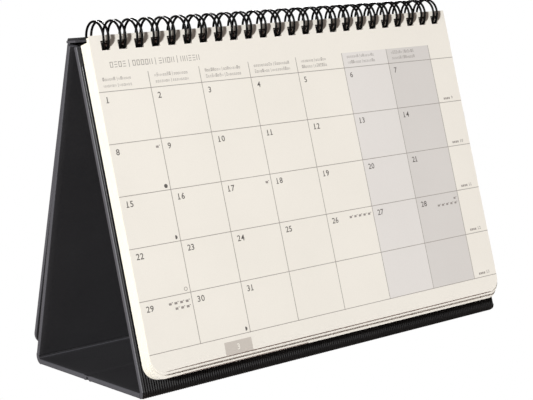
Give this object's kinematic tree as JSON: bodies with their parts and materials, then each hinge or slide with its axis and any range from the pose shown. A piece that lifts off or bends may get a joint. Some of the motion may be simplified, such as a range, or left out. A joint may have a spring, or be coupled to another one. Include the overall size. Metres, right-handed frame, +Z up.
{
  "type": "desk diary",
  "caption": "Stand-up wire-bound desk diary: landscape leaves turn on a ring wire over a cased board stand that folds flat, with the cover turned back behind it.",
  "frame": {"origin": "on the desk, under the middle of the stand's box", "axes": "+X across the page to the reader's right, -Y towards the reader, +Z up"},
  "size_m": [0.214, 0.1132, 0.1636],
  "materials": {
    "leatherette": "matt ribbed",
    "board": "matt",
    "lining": "smooth matt",
    "paper": "uncoated",
    "wire": "satin coated"
  },
  "bodies": {
    "front_panel": {"front_panel_wrap": "leatherette", "front_panel_board": "board", "front_panel_lining": "lining", "front_fold_skin": "leatherette", "wire": "wire", "leg_strip_wrap": "leatherette", "leg_strip_board": "board", "cover_strip_wrap": "leatherette", "cover_strip_board": "board"},
    "base_front": {"base_front_wrap": "leatherette", "base_front_board": "board", "base_front_lining": "lining", "mid_fold_skin": "leatherette"},
    "base_rear": {"base_rear_wrap": "leatherette", "base_rear_board": "board", "base_rear_lining": "lining", "rear_fold_skin": "leatherette"},
    "leg": {"leg_wrap": "leatherette", "leg_board": "board", "leg_lining": "lining"},
    "cover": {"cover_wrap": "leatherette", "cover_board": "board", "cover_lining": "lining", "cover_hinge": "leatherette"},
    "front_leaf": {"front_leaf": "paper"},
    "leaf_bundle_1": {"leaf_bundle_1": "paper"},
    "leaf_bundle_2": {"leaf_bundle_2": "paper"},
    "leaf_bundle_3": {"leaf_bundle_3": "paper"},
    "leaf_bundle_4": {"leaf_bundle_4": "paper"},
    "leaf_bundle_5": {"leaf_bundle_5": "paper"}
  },
  "joints": [
    {"name": "front_fold", "type": "hinge", "parent": "front_panel", "child": "base_front", "pos_m": [0, -0.04708, 0.003], "axis": [1, 0, 0], "range_deg": [0, 78]},
    {"name": "mid_fold", "type": "hinge", "parent": "base_front", "child": "base_rear", "pos_m": [0, -0.00063, -0.00015], "axis": [-1, 0, 0], "range_deg": [0, 180]},
    {"name": "rear_fold", "type": "hinge", "parent": "base_rear", "child": "leg", "pos_m": [0, 0.04581, 0.004], "axis": [1, 0, 0], "range_deg": [0, 68]},
    {"name": "cover_swing", "type": "hinge", "parent": "leg", "child": "cover", "pos_m": [0, -0.00742, 0.15604], "axis": [1, 0, 0], "range_deg": [0, 90]},
    {"name": "leaf_turn", "type": "hinge", "parent": "front_panel", "child": "front_leaf", "pos_m": [0, -0.0203, 0.15544], "axis": [-1, 0, 0], "range_deg": [0, 160]},
    {"name": "bundle_1_turn", "type": "hinge", "parent": "front_panel", "child": "leaf_bundle_1", "pos_m": [0, -0.0203, 0.15544], "axis": [-1, 0, 0], "range_deg": [0, 140.9]},
    {"name": "bundle_2_turn", "type": "hinge", "parent": "front_panel", "child": "leaf_bundle_2", "pos_m": [0, -0.0203, 0.15544], "axis": [-1, 0, 0], "range_deg": [0, 121.7]},
    {"name": "bundle_3_turn", "type": "hinge", "parent": "front_panel", "child": "leaf_bundle_3", "pos_m": [0, -0.0203, 0.15544], "axis": [-1, 0, 0], "range_deg": [0, 102.5]},
    {"name": "bundle_4_turn", "type": "hinge", "parent": "front_panel", "child": "leaf_bundle_4", "pos_m": [0, -0.0203, 0.15544], "axis": [-1, 0, 0], "range_deg": [0, 83.3]},
    {"name": "bundle_5_turn", "type": "hinge", "parent": "front_panel", "child": "leaf_bundle_5", "pos_m": [0, -0.0203, 0.15544], "axis": [-1, 0, 0], "range_deg": [0, 64.1]}
  ],
  "couplings": [
    {"joint": "mid_fold", "follows": "front_fold", "ratio": 2.3077},
    {"joint": "rear_fold", "follows": "front_fold", "ratio": 0.87179},
    {"joint": "bundle_1_turn", "follows": "leaf_turn", "ratio": 0.88},
    {"joint": "bundle_2_turn", "follows": "leaf_turn", "ratio": 0.76},
    {"joint": "bundle_3_turn", "follows": "leaf_turn", "ratio": 0.64},
    {"joint": "bundle_4_turn", "follows": "leaf_turn", "ratio": 0.52},
    {"joint": "bundle_5_turn", "follows": "leaf_turn", "ratio": 0.4}
  ]
}
